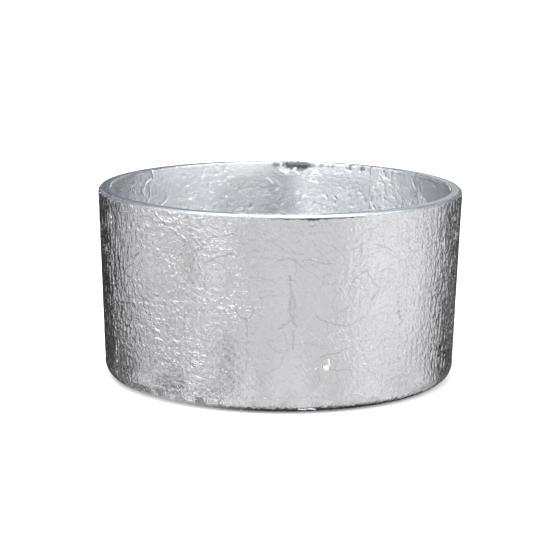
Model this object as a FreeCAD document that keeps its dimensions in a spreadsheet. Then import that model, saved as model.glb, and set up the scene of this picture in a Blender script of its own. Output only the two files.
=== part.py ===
"""A round glass candle vessel, leafed in silver on the outside.

The vessel is one piece of pressed glass with a fire-polished rim, a wall that widens
slightly towards the mouth and a low standing ring underneath.  Five sheets of metal leaf
go round the wall, each lapped over the next, and fold under the base as far as the ring.
One more sheet covers the middle of the underside.  A film of clear lacquer seals the leaf.

Lengths are millimetres.  Z points up through the mouth, and the origin is the centre of
the circle that the vessel stands on.
"""
import FreeCAD, Part
import Sketcher
import math
import operator
import os
import types

OUT = "parts"
SHEET = "Sizes"
FULL_TURN = 360.0
SAME_PLACE = 1e-4
POINTS_TO_TEST = 5
MM3_IN_CM3 = 1000.0
Z_AXIS = FreeCAD.Vector(0, 0, 1)

# Driving dimensions, one spreadsheet row each.
SIZES = [
    ("overall_height", 63.2, "standing ring to the top of the rim"),
    ("rim_diameter", 119.6, "outside of the glass wall, carried up to the rim"),
    ("base_diameter", 115.0, "outside of the glass wall, carried down to the base"),
    ("rim_wall", 4.2, "thickness of the glass at the rim"),
    ("floor_diameter", 106.0, "inside of the wall, carried down to the floor"),
    ("floor_height", 6.5, "top of the glass floor"),
    ("rim_outer_round", 1.0, "radius of the rim's outer edge"),
    ("rim_inner_round", 1.4, "radius of the rim's inner edge"),
    ("base_round", 5.0, "radius of the corner between wall and base"),
    ("floor_round", 6.0, "radius of the corner between wall and floor, inside"),
    ("base_height", 0.35, "underside of the base beside the standing ring"),
    ("ring_outer_diameter", 103.4, "outside of the standing ring"),
    ("ring_inner_diameter", 95.8, "inside of the standing ring"),
    ("ring_round", 0.25, "radius of the standing ring's edges"),
    ("recess_height", 1.1, "underside inside the standing ring"),
    ("leaf_thickness", 0.08, "height of the crumpled leaf"),
    ("lacquer_thickness", 0.08, "clear lacquer over the leaf"),
    ("bare_rim", 1.1, "band of bare glass above the leaf"),
    ("hem_diameter", 104.6, "inner edge of the leaf that folds under the base"),
    ("leaf_count", 5, "sheets of leaf round the wall"),
    ("lap_angle", 4.4, "overlap of one sheet on the next"),
    ("lap_root_angle", 0.4, "width of the fold where a sheet steps up on to the next"),
    ("first_seam_angle", -87.0, "where the first sheet starts, counted from +X"),
    ("base_leaf_diameter", 94.2, "leaf on the underside, inside the standing ring"),
]


class Size:
    """A number worked out from the sheet's cells, together with the formula that gives it."""

    def __init__(self, value, formula):
        self.value = value
        self.formula = formula

    def combined(self, sign, other, work_out):
        if not isinstance(other, Size):
            other = Size(other, str(other))
        value = work_out(self.value, other.value)
        return Size(value, f"({self.formula} {sign} {other.formula})")

    def __add__(self, other):
        return self.combined("+", other, operator.add)

    def __sub__(self, other):
        return self.combined("-", other, operator.sub)

    def __mul__(self, other):
        return self.combined("*", other, operator.mul)

    def __truediv__(self, other):
        return self.combined("/", other, operator.truediv)


ZERO = Size(0.0, "0")
WHOLE_TURN = Size(FULL_TURN, "360")

cell = types.SimpleNamespace(
    **{name: Size(value, f"{SHEET}.{name}") for name, value, _ in SIZES}
)

# The outside of the wall is one straight line: its radius at the base, and its slope.
base_radius = cell.base_diameter / 2
wall_slope = (cell.rim_diameter / 2 - base_radius) / (cell.overall_height - cell.base_height)
leaf_top = cell.overall_height - cell.bare_rim
skin_thickness = cell.leaf_thickness * 2 + cell.lacquer_thickness
sheet_pitch = WHOLE_TURN / cell.leaf_count


def make_sheet(doc):
    """The spreadsheet of driving dimensions: a name, a value and a note in each row."""
    sheet = doc.addObject("Spreadsheet::Sheet", SHEET)
    for row, (name, value, note) in enumerate(SIZES, start=1):
        sheet.set(f"A{row}", name)
        sheet.set(f"B{row}", str(value))
        sheet.set(f"C{row}", note)
        sheet.setAlias(f"B{row}", name)
    doc.recompute()


def bind(thing, name, size):
    """Gives a property its size, and keeps it bound to the sheet."""
    setattr(thing, name, size.value)
    thing.setExpression(name, size.formula)


def turn(thing, angle):
    """Turns a thing about the Z axis, and keeps the angle bound to the sheet."""
    thing.Placement.Rotation = FreeCAD.Rotation(Z_AXIS, angle.value)
    thing.setExpression("Placement.Rotation.Angle", angle.formula)


def make_body(label):
    body = doc.addObject("PartDesign::Body", label)
    body.Label = label
    return body


def origin_plane(body, role):
    return next(f for f in body.Origin.OriginFeatures if f.Role == role)


def half_section(body, name, corners):
    """A closed outline in the body's XZ plane.  Each corner is a radius and a height, which
    stay bound to the spreadsheet."""
    sketch = body.newObject("Sketcher::SketchObject", name)
    sketch.AttachmentSupport = [(origin_plane(body, "XZ_Plane"), "")]
    sketch.MapMode = "FlatFace"
    points = [FreeCAD.Vector(radius.value, height.value, 0) for radius, height in corners]
    for start, end in zip(points, points[1:] + points[:1]):
        sketch.addGeometry(Part.LineSegment(start, end), False)
    for line in range(len(points)):
        following = (line + 1) % len(points)
        sketch.addConstraint(Sketcher.Constraint("Coincident", line, 2, following, 1))
    for line, (radius, height) in enumerate(corners):
        for kind, size in (("DistanceX", radius), ("DistanceY", height)):
            place = Sketcher.Constraint(kind, -1, 1, line, 1, size.value)
            index = sketch.addConstraint(place)
            sketch.setExpression(f"Constraints[{index}]", size.formula)
    return sketch


def lathe(body, sketch, name, angle=WHOLE_TURN):
    """Turns a half section about the Z axis, through the given angle."""
    turned = body.newObject("PartDesign::Revolution", name)
    turned.Profile = sketch
    turned.ReferenceAxis = (sketch, ["V_Axis"])
    bind(turned, "Angle", angle)
    turned.Refine = False
    sketch.Visibility = False
    doc.recompute()


def circles_at(shape, radius, height):
    """Names of the edges that run round the Z axis at that radius and height."""
    found = []
    for number, edge in enumerate(shape.Edges, start=1):
        on_it = all(
            abs(math.hypot(p.x, p.y) - radius) < SAME_PLACE and abs(p.z - height) < SAME_PLACE
            for p in edge.discretize(POINTS_TO_TEST)
        )
        if on_it:
            found.append(f"Edge{number}")
    if not found:
        raise RuntimeError(f"no edge at radius {radius} and height {height}")
    return found


def round_corner(body, name, corner, radius):
    """Fillets the edge that runs round the Z axis at a (radius, height) corner."""
    base = body.Tip
    corner_radius, corner_height = corner
    edges = circles_at(base.Shape, corner_radius.value, corner_height.value)
    fillet = body.newObject("PartDesign::Fillet", name)
    fillet.Base = (base, edges)
    bind(fillet, "Radius", radius)
    body.Tip = fillet
    doc.recompute()


def make_glass():
    """The pressed glass vessel: wall, floor, fire-polished rim and standing ring."""
    body = make_body("glass_vessel")
    ring_inside = cell.ring_inner_diameter / 2
    ring_outside = cell.ring_outer_diameter / 2
    rim_outside = (cell.rim_diameter / 2, cell.overall_height)
    rim_inside = (cell.rim_diameter / 2 - cell.rim_wall, cell.overall_height)
    base_corner = (base_radius, cell.base_height)
    floor_corner = (cell.floor_diameter / 2, cell.floor_height)
    corners = [
        (ZERO, cell.recess_height),
        (ring_inside, cell.recess_height),
        (ring_inside, ZERO),
        (ring_outside, ZERO),
        (ring_outside, cell.base_height),
        base_corner,
        rim_outside,
        rim_inside,
        floor_corner,
        (ZERO, cell.floor_height),
    ]
    lathe(body, half_section(body, "glass_section", corners), "glass_turned")
    round_corner(body, "ring_inner_edge", (ring_inside, ZERO), cell.ring_round)
    round_corner(body, "ring_outer_edge", (ring_outside, ZERO), cell.ring_round)
    round_corner(body, "base_corner", base_corner, cell.base_round)
    round_corner(body, "floor_corner", floor_corner, cell.floor_round)
    round_corner(body, "rim_outer_edge", rim_outside, cell.rim_outer_round)
    round_corner(body, "rim_inner_edge", rim_inside, cell.rim_inner_round)
    return body


def wall_corners(offset):
    """Hem, base corner and top edge of a surface that lies outside the glass wall by
    offset, as (radius, height) pairs."""
    below = cell.base_height - offset
    hem = (cell.hem_diameter / 2, below)
    corner = (base_radius + offset - offset * wall_slope, below)
    top = (base_radius + wall_slope * (leaf_top - cell.base_height) + offset, leaf_top)
    return hem, corner, top


def wall_layer(body, name, inside, outside, angle=WHOLE_TURN):
    """A skin round the outside of the wall and under its corner, between two offsets, bent
    concentric with the glass."""
    hem_in, corner_in, top_in = wall_corners(inside)
    hem_out, corner_out, top_out = wall_corners(outside)
    corners = [hem_in, corner_in, top_in, top_out, corner_out, hem_out]
    lathe(body, half_section(body, f"{name}_section", corners), f"{name}_turned", angle)
    round_corner(body, f"{name}_inner_bend", corner_in, cell.base_round + inside)
    round_corner(body, f"{name}_outer_bend", corner_out, cell.base_round + outside)


def make_wall_leaf(number):
    """One sheet of leaf: a layer on the glass, and a lap that rides on the next sheet."""
    label = f"wall_leaf_{number}"
    flat = make_body(f"{label}_sheet")
    wall_layer(flat, f"{label}_sheet", ZERO, cell.leaf_thickness, sheet_pitch)
    lap = make_body(f"{label}_lap")
    lap_width = cell.lap_angle + cell.lap_root_angle
    wall_layer(lap, f"{label}_lap", cell.leaf_thickness, cell.leaf_thickness * 2, lap_width)
    turn(lap, sheet_pitch - cell.lap_root_angle)
    leaf = doc.addObject("Part::Fuse", label)
    leaf.Label = label
    leaf.Base, leaf.Tool = flat, lap
    turn(leaf, cell.first_seam_angle + sheet_pitch * (number - 1))
    doc.recompute()
    return leaf


def disc(label, diameter, top, thickness):
    """A flat round film with its upper face at the given height."""
    film = doc.addObject("Part::Cylinder", label)
    film.Label = label
    bind(film, "Radius", diameter / 2)
    bind(film, "Height", thickness)
    film.setExpression("Placement.Base.z", (top - thickness).formula)
    doc.recompute()
    return film


def make_wall_lacquer(leaves):
    """The lacquer on the wall: a skin over the laps, less the room that the leaf takes."""
    skin = make_body("wall_lacquer_skin")
    wall_layer(skin, "wall_lacquer", ZERO, skin_thickness)
    leafing = doc.addObject("Part::MultiFuse", "leafing")
    leafing.Shapes = leaves
    lacquer = doc.addObject("Part::Cut", "wall_lacquer")
    lacquer.Label = "wall_lacquer"
    lacquer.Base, lacquer.Tool = skin, leafing
    doc.recompute()
    return lacquer


def check_document():
    """Stops if any object of the document failed to build."""
    failed = [o.Name for o in doc.Objects if {"Invalid", "Error"} & set(o.State)]
    if failed:
        raise RuntimeError(f"these objects failed: {failed}")


def write_parts(parts):
    """Checks each finished sub-part, then writes each to a STEP file of its own."""
    for part in parts:
        shape = part.Shape
        if shape.isNull() or not shape.isValid() or not shape.Solids:
            raise RuntimeError(f"{part.Label} is not a valid solid")
    os.makedirs(OUT, exist_ok=True)
    for part in parts:
        shape = part.Shape
        box = shape.BoundBox
        print(
            f"{part.Label}: {len(shape.Solids)} solid, {shape.Volume / MM3_IN_CM3:.3f} cm3,"
            f" z {box.ZMin:.3f} to {box.ZMax:.3f}, x {box.XMin:.2f} to {box.XMax:.2f}"
        )
        shape.exportStep(os.path.join(OUT, f"{part.Label}.step"))


doc = FreeCAD.newDocument("candle_vessel")
make_sheet(doc)

glass = make_glass()
leaves = [make_wall_leaf(number) for number in range(1, int(cell.leaf_count.value) + 1)]
wall_lacquer = make_wall_lacquer(leaves)
base_leaf = disc(
    "base_leaf", cell.base_leaf_diameter, cell.recess_height, cell.leaf_thickness
)
base_lacquer = disc(
    "base_lacquer",
    cell.base_leaf_diameter,
    cell.recess_height - cell.leaf_thickness,
    cell.lacquer_thickness,
)

doc.recompute()
check_document()
write_parts([glass, *leaves, wall_lacquer, base_leaf, base_lacquer])
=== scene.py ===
"""A pressed glass candle vessel, leafed in crumpled silver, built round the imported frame.

Lengths are metres.  Z points up through the mouth, and the origin is the centre of the circle
that the vessel stands on.  Angles are degrees from +X, so that -90 is the front.
"""
import math

import bpy
import numpy as np
from mathutils import Matrix, Vector


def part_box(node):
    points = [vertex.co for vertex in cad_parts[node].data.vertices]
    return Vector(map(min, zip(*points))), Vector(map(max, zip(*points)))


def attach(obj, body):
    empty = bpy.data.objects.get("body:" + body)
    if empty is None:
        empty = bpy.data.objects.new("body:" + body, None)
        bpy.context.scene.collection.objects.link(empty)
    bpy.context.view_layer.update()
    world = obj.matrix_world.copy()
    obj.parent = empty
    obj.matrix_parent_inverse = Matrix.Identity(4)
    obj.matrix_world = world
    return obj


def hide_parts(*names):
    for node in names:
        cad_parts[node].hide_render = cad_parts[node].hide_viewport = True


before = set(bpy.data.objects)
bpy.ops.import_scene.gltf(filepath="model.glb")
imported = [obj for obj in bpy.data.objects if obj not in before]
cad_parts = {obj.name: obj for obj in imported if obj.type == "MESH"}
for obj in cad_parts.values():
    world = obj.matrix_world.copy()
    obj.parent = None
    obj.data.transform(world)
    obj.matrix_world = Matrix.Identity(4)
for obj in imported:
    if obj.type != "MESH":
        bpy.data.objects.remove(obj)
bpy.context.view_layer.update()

MM = 0.001
SEED = 41
FILAMENT_SEED = 60
GLASS_SEED = 99
CARD_SEED = 8
BACK_CARD_SEED = 7
BODY = "root"

# ---------------------------------------------------------------- sizes of the vessel
_, glass_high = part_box("glass_vessel")
_, leaf_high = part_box("wall_leaf_1")
_, base_leaf_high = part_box("base_leaf")

# The sizes that no box gives are the CAD model's own.
HEIGHT = glass_high.z
RIM_RADIUS = 59.8 * MM
BASE_RADIUS = 57.5 * MM
RIM_WALL = 4.2 * MM
RIM_OUTER_ROUND = 1.0 * MM
RIM_INNER_ROUND = 1.4 * MM
FLOOR_RADIUS = 53.0 * MM
FLOOR_HEIGHT = 6.5 * MM
FLOOR_ROUND = 6.0 * MM
BASE_ROUND = 5.0 * MM
BASE_HEIGHT = 0.35 * MM
RING_OUTSIDE = 51.7 * MM
RING_INSIDE = 47.9 * MM
RING_ROUND = 0.25 * MM
RECESS_HEIGHT = base_leaf_high.z
LEAF_TOP = leaf_high.z
HEM_RADIUS = 52.3 * MM
BASE_LEAF_RADIUS = base_leaf_high.x

WALL_SLOPE = (RIM_RADIUS - BASE_RADIUS) / (HEIGHT - BASE_HEIGHT)

# ---------------------------------------------------------------- how the leaf is laid
wall_leaves = sorted(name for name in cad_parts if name.startswith("wall_leaf_"))
FIRST_SEAM = -87.0
SHEET_PITCH = 360.0 / len(wall_leaves)
LAP = 4.4
LAP_LIFT = 0.07 * MM
LAP_RAMP = 1.6 * MM
GRID = 0.25 * MM
BASE_GRID = 0.55 * MM
PATH_STEP = 0.5 * MM
LEAF_LIFT = 0.03 * MM
LEAF_DEPTH = 0.40 * MM
LEAF_RELIEF = 0.30 * MM
RELIEF_BLUR = 1.5 * MM
TOP_EDGE_RISE = 0.20 * MM
SHARP_EDGE = math.radians(60)

# The names under which a mesh's points keep how strong the grain is there, how strong the fine
# waves are, how dark the painted shade and the wear make the metal, and how brightly a studio
# card glows.
CREASED = "creased"
WAVED = "waved"
SHADE_AND_WEAR = "shade_and_wear"
GLOW = "glow"

# How much of the outer side's relief the inner side has, and how strong its grain is for that;
# how strong the waves are on either side; how much grain is left where the leaf is calm; and
# how lively the hem is at least.
INNER_SHARE = 0.08
INNER_FINENESS = 2.2
WAVE_SHARE = 0.7
INNER_WAVE_SHARE = 0.10
FINE_SHARE = 0.14
HEM_SHARE = 0.8
HEM_REACH = 10 * MM
HEM_FADE = 3 * MM

# How a thing round a place fades out: as a hill, or with a flat top and a steeper side.
HILL = 2
FLAT_TOP = 4

# How the leaf's calmness drifts over a sheet, the least it gets to, and how much calmer still a
# calm patch is.
LEAST_LIVELY = 0.45
CALM_DRIFT = 0.9
CALM_CELL = 9 * MM
PATCH_CALM = 0.75
# Places on the wall, each an angle and a height, where the leaf lies nearly smooth, with how
# far that reaches.
CALM_PATCHES = [
    (-85, 52 * MM, 13 * MM),
    (-93, 42 * MM, 9 * MM),
    (-93, 11 * MM, 11 * MM),
    (-79, 34 * MM, 8 * MM),
    (-72, 52 * MM, 8 * MM),
    (-58, 47 * MM, 7 * MM),
    (-57, 33 * MM, 5 * MM),
    (-80, 12 * MM, 8 * MM),
    (-118, 50 * MM, 6 * MM),
    (-128, 41 * MM, 5 * MM),
    (-104, 22 * MM, 5 * MM),
    (95, 40 * MM, 9 * MM),
    (20, 30 * MM, 11 * MM),
    (155, 36 * MM, 10 * MM),
]

# Places where the creases show most through the glass: angle, height, reach and how much.
LIVELY_PATCHES = [
    (72, 49 * MM, 14 * MM, 0.34),
    (48, 50 * MM, 10 * MM, 0.12),
    (33, 50 * MM, 7 * MM, 0.35),
    (-60, 30 * MM, 15 * MM, 0.4),
    (101, 51 * MM, 8 * MM, 0.30),
    (152, 50 * MM, 8 * MM, 0.16),
]

# Painted shade: places where the metal seen through the glass is painted darker: angle, height,
# reach and how much.  It fades in below the top edge.
INNER_SHADE_FADE = 6 * MM
INNER_SHADE_PATCHES = [
    (98, 44 * MM, 20 * MM, 0.48),
    (68, 50 * MM, 16 * MM, 0.28),
    (132, 50 * MM, 15 * MM, 0.15),
]

# Tears that show the glass: angle, height, half width, half length and lean in degrees.  Their
# edges are uneven and stand up in a lip, and the leaf is thin beside them.
TEARS = [
    (-159.0, 28.4 * MM, 0.80 * MM, 1.9 * MM, 0),
    (-81.2, 1.5 * MM, 3.4 * MM, 0.55 * MM, 0),
    (48.0, 22.0 * MM, 0.60 * MM, 3.2 * MM, -20),
    (168.0, 41.0 * MM, 0.45 * MM, 2.6 * MM, 12),
]
LIP_HEIGHT = 0.04 * MM
LIP_PLACE = 1.2
LIP_WIDTH = 0.45
TORN_EDGE = 0.30
TORN_CELL = 0.7 * MM
TORN_SHARE = 0.35
TORN_REACH = 1.6
# Spots where the leaf was pressed in, so that it lies just under the glass's own surface:
# angle, height, half width, half length and lean.
PRESSED_SPOTS = [
    (-74.6, 16.4 * MM, 0.45 * MM, 1.30 * MM, -8),
    (-75.6, 14.9 * MM, 1.10 * MM, 0.70 * MM, 18),
    (-78.4, 15.0 * MM, 0.40 * MM, 0.20 * MM, 0),
    (-63.4, 17.6 * MM, 0.30 * MM, 0.85 * MM, 24),
]
PRESSED_DEPTH = 0.10 * MM
PRESSED_DARKNESS = 0.30
PRESSED_END = 1.15
PRESSED_FADE = 0.3
# Spots where the metal is worn thin and looks darker, most of all round their edges: angle,
# height, half width, half length, lean and how much darker.
WORN_SPOTS = [
    (-86.2, 34.4 * MM, 0.75 * MM, 4.0 * MM, 0, 0.20),
    (-50.0, 29.8 * MM, 0.42 * MM, 1.6 * MM, -14, 0.55),
    (-50.6, 33.2 * MM, 0.32 * MM, 0.9 * MM, -20, 0.35),
    (-49.4, 15.2 * MM, 0.75 * MM, 0.32 * MM, 10, 0.45),
]
WORN_END = 1.3
WORN_FADE = 0.4
WORN_MIDDLE = 0.35
WORN_EDGE = 0.5
# Where the painted shade line along the top edge starts and ends, where it is thick, and how far
# it reaches down there: on the outside, and on the side seen through the glass.
EDGE_SHADE = (-97, -62, -84, -74, 0.65 * MM)
INNER_EDGE_SHADE = (8, 96, 78, 90, 1.7 * MM)
EDGE_SHADE_FADE = 6 * MM
THICK_FADE = 3 * MM
THIN_PART = 0.45
EDGE_SHADE_UNEVEN = 0.4
EDGE_SHADE_CELL = 0.8 * MM
EDGE_SHADE_END = 1.5

# Stars of folds that run out from a point: angle, height, reach and number of folds.
STARS = [
    (-61.0, 26.0 * MM, 4.5 * MM, 17),
    (-108.0, 14.0 * MM, 3.5 * MM, 13),
    (-131.0, 33.0 * MM, 4.0 * MM, 15),
    (76.0, 50.0 * MM, 4.0 * MM, 15),
]
STAR_SLOPE = 0.6
STAR_RING = 2.2
STAR_END = 12

# Long bent creases: angle and height of the bend's centre, its radius, where it starts and
# how far it goes in degrees.
CREASES = [
    (-79.1, 34.4 * MM, 8.4 * MM, 148, 65),
    (-93.3, 34.4 * MM, 8.4 * MM, -32, 65),
    (-100.2, 33.6 * MM, 3.0 * MM, 0, 180),
    (-104.5, 44.0 * MM, 13.0 * MM, 200, 75),
    (-88.0, 42.5 * MM, 7.0 * MM, 250, 60),
    (-70.0, 40.0 * MM, 12.0 * MM, 55, 80),
    (-62.0, 38.5 * MM, 6.5 * MM, 170, 90),
    (-66.0, 12.0 * MM, 14.0 * MM, 60, 70),
    (-112.0, 12.0 * MM, 9.0 * MM, 20, 95),
    (80.0, 44.0 * MM, 13.0 * MM, 30, 90),
    (97.0, 60.0 * MM, 9.0 * MM, 200, 110),
]
# Nearly straight creases: the angle and height of each end.
SPLITS = [
    (-86.5, 44.5 * MM, -86.4, 37.0 * MM),
    (-87.4, 43.2 * MM, -85.2, 42.9 * MM),
    (-86.8, 30.2 * MM, -90.0, 27.5 * MM),
    (-86.2, 29.5 * MM, -84.9, 28.2 * MM),
    (-85.7, 27.0 * MM, -85.9, 21.5 * MM),
    (-99.6, 30.8 * MM, -99.2, 25.0 * MM),
    (-83.0, 49.4 * MM, -74.8, 47.8 * MM),
    (-77.2, 18.4 * MM, -67.8, 20.8 * MM),
    (-74.0, 14.6 * MM, -66.8, 13.4 * MM),
    (-63.5, 45.9 * MM, -58.6, 38.5 * MM),
    (-58.6, 38.5 * MM, -61.0, 35.4 * MM),
    (-60.7, 53.3 * MM, -54.0, 50.8 * MM),
    (-116.0, 51.2 * MM, -109.0, 53.0 * MM),
    (-112.6, 47.6 * MM, -104.2, 51.2 * MM),
    (-131.5, 61.5 * MM, -119.5, 54.0 * MM),
]
# Both stand up as a thin ridge with a dark line of painted shade along it, and a bent one dies
# away over some degrees at its ends.
CREASE_WIDTH = 0.24 * MM
CREASE_HEIGHT = 0.12 * MM
CREASE_ROOM = 2 * MM
CREASE_END = 8
LINE_WIDTH = 0.18 * MM
DARK_CREASE_SHADE = 0.28
FAINT_CREASE_SHADE = 0.12

# What a sheet's crumpling is made of: how many of each thing it has, and the least and most
# that each can be.  The bends shift everything a little: how far, and over what length that
# varies.  BEND_ROOM keeps every shifted place above zero.
BENDS = [(0.40 * MM, 2.6 * MM), (0.16 * MM, 0.9 * MM)]
BEND_ROOM = 1 * MM
WANDER = 1.4
WANDER_CELL = 3.0 * MM
UNDULATION = 0.02 * MM
SWELL_CELL = 7 * MM
WRINKLES = 1650
WRINKLE_SPACING = (0.50 * MM, 0.90 * MM)
WRINKLE_LENGTH = (1.3 * MM, 5.0 * MM)
WRINKLE_WIDTH = (0.5 * MM, 2.0 * MM)
WRINKLE_SLOPE = (0.40, 1.20)
WRINKLE_REACH = 2.1
# The facets all over a sheet, of several sizes: how wide they are and how high they stand.
FACETS = [(2.6 * MM, 0.30 * MM), (1.3 * MM, 0.22 * MM), (0.7 * MM, 0.13 * MM)]
# Stretches of the wall, from one angle to another, where ridges run up it.
UPRIGHT_STRETCHES = [(-177, -143), (-37, -3)]
STRETCH_FADE = 5 * MM
# The height, width and length of those ridges, and of the pleats where the leaf folds under.
UPRIGHT_RIDGES = (0.30 * MM, 1.6 * MM, 3.5 * MM)
HEM_PLEATS = (0.30 * MM, 0.9 * MM, 0.9 * MM)
# A stretch where the leaf's grain is stronger, and how much stronger it is.
GRAINY_STRETCH = (-140, -99)
GRAINY_SHARE = 0.6
# How much relief is left under the sheet lapped over this one, and where that ends.
UNDER_LAP_SHARE = 0.15
UNDER_LAP_FADE = 6 * MM
FOLDS = 40
INNER_FOLDS = 10
FOLD_REACH = (3 * MM, 8 * MM)
FOLD_SLOPE = (0.004, 0.016)
FANS = 34
FAN_REACH = (3.0 * MM, 7.5 * MM)
FAN_FOLDS = (26, 56)
FAN_SWEEP = (40, 130)
RANDOM_CREASES = 130
INNER_CREASES = 150
INNER_CREASE_SHARE = 0.6
CREASE_RADIUS = (2 * MM, 11 * MM)
CREASE_SWEEP = (15, 80)
INNER_CREASE_RADIUS = (1.0 * MM, 5 * MM)
INNER_CREASE_SWEEP = (30, 120)
# Short bright folds seen through the glass, most of all round one place: its angle and height,
# how far they reach round it, and how much of their height they keep away from it and there.
FILAMENTS = 320
FILAMENT_RADIUS = (0.5 * MM, 2.4 * MM)
FILAMENT_SWEEP = (20, 110)
FILAMENT_PATCH = (84, 50 * MM, 34 * MM)
FILAMENT_SHARES = (0.25, 1.7)

# How ragged the top edge is and how frayed the lap's edge is: how far in and over what length,
# and how soon that dies away from the edge.
RAGGED = [(0.28 * MM, 1.6 * MM), (0.16 * MM, 0.6 * MM)]
FRAYED = [(0.50 * MM, 2.4 * MM), (0.25 * MM, 0.8 * MM)]
EDGE_FADE = 2 * MM


def unit(vector):
    return vector / np.linalg.norm(vector)


def rounded_outline(corners, steps):
    """Points of an open outline of (radius, height, rounding) corners, with so many points in
    each rounding."""
    points = []
    for index, (radius, height, rounding) in enumerate(corners):
        here = np.array((radius, height))
        if not rounding:
            points.append(here)
            continue
        back = unit(np.array(corners[index - 1][:2]) - here)
        ahead = unit(np.array(corners[index + 1][:2]) - here)
        half = math.acos(np.clip(back @ ahead, -1, 1)) / 2
        centre = here + unit(back + ahead) * rounding / math.sin(half)
        first = here + back * rounding / math.tan(half) - centre
        last = here + ahead * rounding / math.tan(half) - centre
        sweep = math.pi - 2 * half
        for t in np.linspace(0, 1, steps):
            mixed = math.sin((1 - t) * sweep) * first + math.sin(t * sweep) * last
            points.append(centre + mixed / math.sin(sweep))
    return np.array(points)


def split_runs(points, longest):
    """The same outline, with points added where two are further apart than longest."""
    found = [points[0]]
    for start, end in zip(points[:-1], points[1:]):
        parts = max(1, math.ceil(np.linalg.norm(end - start) / longest))
        found.extend(start + (end - start) * k / parts for k in range(1, parts + 1))
    return np.array(found)


def mesh_object(name, points, faces, material):
    """A smooth-shaded object, sharp where its faces meet at more than SHARP_EDGE."""
    mesh = bpy.data.meshes.new(name)
    mesh.from_pydata(points, [], faces)
    mesh.update()
    mesh.polygons.foreach_set("use_smooth", np.ones(len(mesh.polygons), bool))
    mesh.set_sharp_from_angle(angle=SHARP_EDGE)
    made = bpy.data.objects.new(name, mesh)
    bpy.context.scene.collection.objects.link(made)
    mesh.materials.append(material)
    return made


# ---------------------------------------------------------------- random fields
def smooth_noise(rng, across, down, cell):
    """A smooth random field from -1 to 1, with features about one cell wide.  Neither
    coordinate is below zero."""
    x, y = across / cell, down / cell
    lattice = rng.uniform(-1, 1, (int(y.max()) + 2, int(x.max()) + 2))
    column, row = x.astype(int), y.astype(int)
    fx, fy = x - column, y - row
    fx, fy = fx * fx * (3 - 2 * fx), fy * fy * (3 - 2 * fy)
    top = lattice[row, column] * (1 - fx) + lattice[row, column + 1] * fx
    low = lattice[row + 1, column] * (1 - fx) + lattice[row + 1, column + 1] * fx
    return top * (1 - fy) + low * fy


def smoothstep(value):
    value = np.clip(value, 0, 1)
    return value * value * (3 - 2 * value)


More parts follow.
